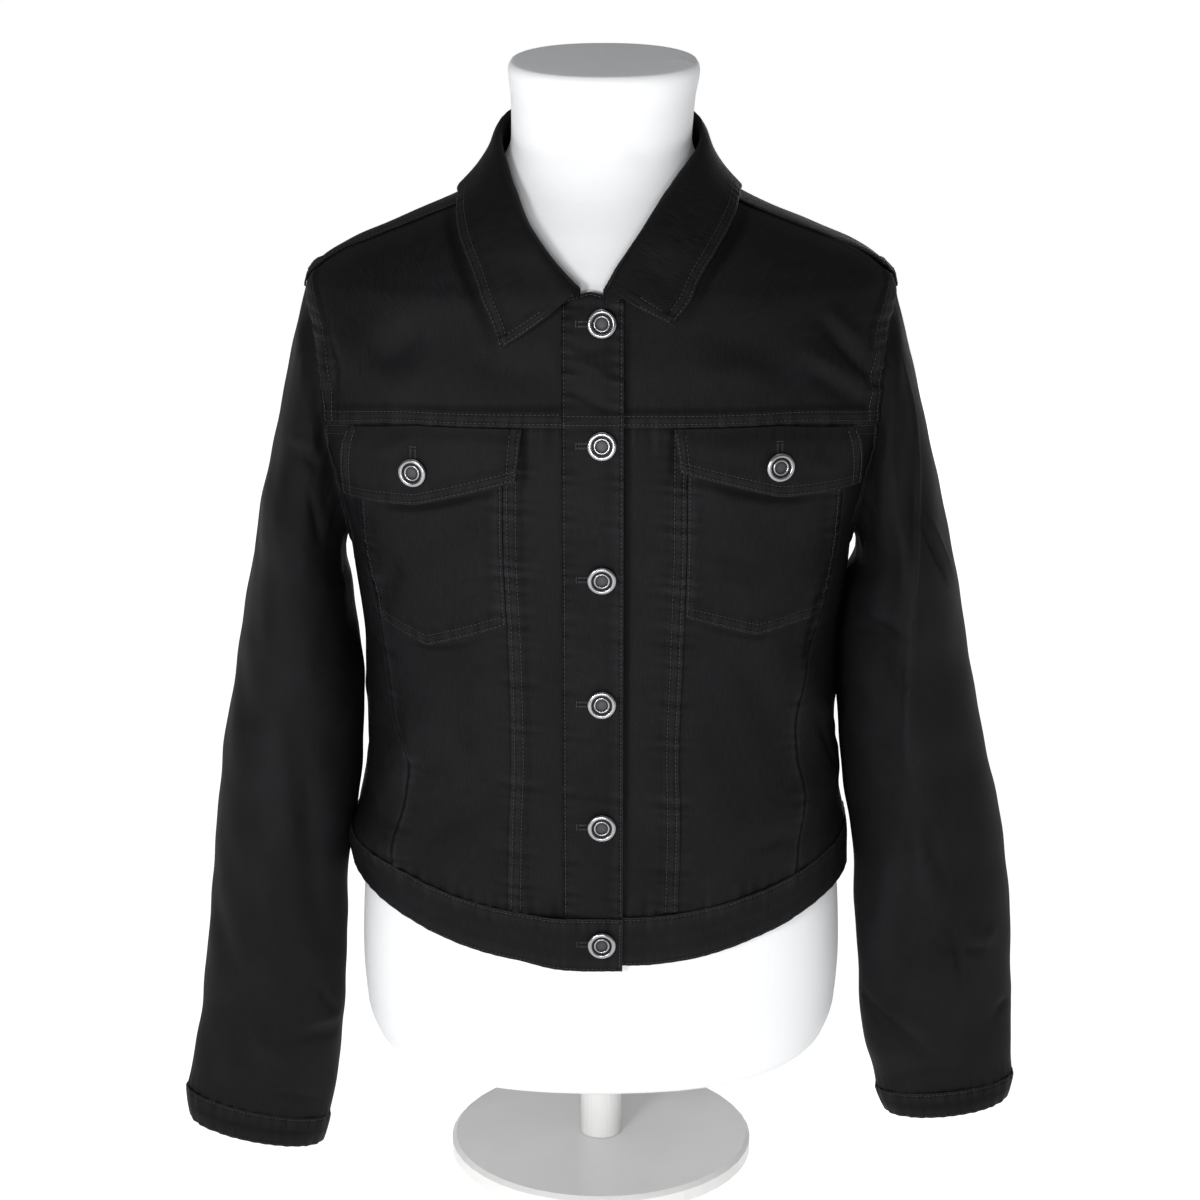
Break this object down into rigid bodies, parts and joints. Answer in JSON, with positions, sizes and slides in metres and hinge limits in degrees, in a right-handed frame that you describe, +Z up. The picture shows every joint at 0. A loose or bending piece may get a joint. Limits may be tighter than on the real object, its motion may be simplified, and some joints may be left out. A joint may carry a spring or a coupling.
{
  "type": "denim jacket on dress form",
  "caption": "Black denim jacket with point collar, chest flap pockets and metal buttons, worn by a limbless white dress form on a round base.",
  "frame": {"origin": "middle of the flat underside of the round base, on the surface that the part stands on", "axes": "+Z up; the jacket's front faces -Y; +X is the wearer's left side"},
  "size_m": [0.6036, 0.2375, 0.8035],
  "materials": {
    "denim": "washed black stretch twill, matte with a soft sheen",
    "button_metal": "gunmetal nickel, bright on the rims and dark in the wells",
    "form_cover": "white stretch jersey cover, matte",
    "stand_paint": "satin off-white powder coat"
  },
  "bodies": {
    "root": {"collar": "denim", "front_yoke_right": "denim", "front_yoke_left": "denim", "placket_right": "denim", "placket_left": "denim", "front_strip_right": "denim", "front_strip_left": "denim", "front_panel_right": "denim", "front_panel_left": "denim", "side_panel_right": "denim", "side_panel_left": "denim", "pocket_right": "denim", "pocket_left": "denim", "flap_right": "denim", "flap_left": "denim", "back_yoke": "denim", "back_panel": "denim", "waistband": "denim", "sleeve_right": "denim", "sleeve_left": "denim", "cuff_right": "denim", "cuff_left": "denim", "placket_button_1": "button_metal", "placket_button_2": "button_metal", "placket_button_3": "button_metal", "placket_button_4": "button_metal", "placket_button_5": "button_metal", "placket_button_6": "button_metal", "flap_button_right": "button_metal", "flap_button_left": "button_metal", "dress_form": "form_cover", "stand_post": "stand_paint", "stand_base": "stand_paint"}
  },
  "joints": []
}
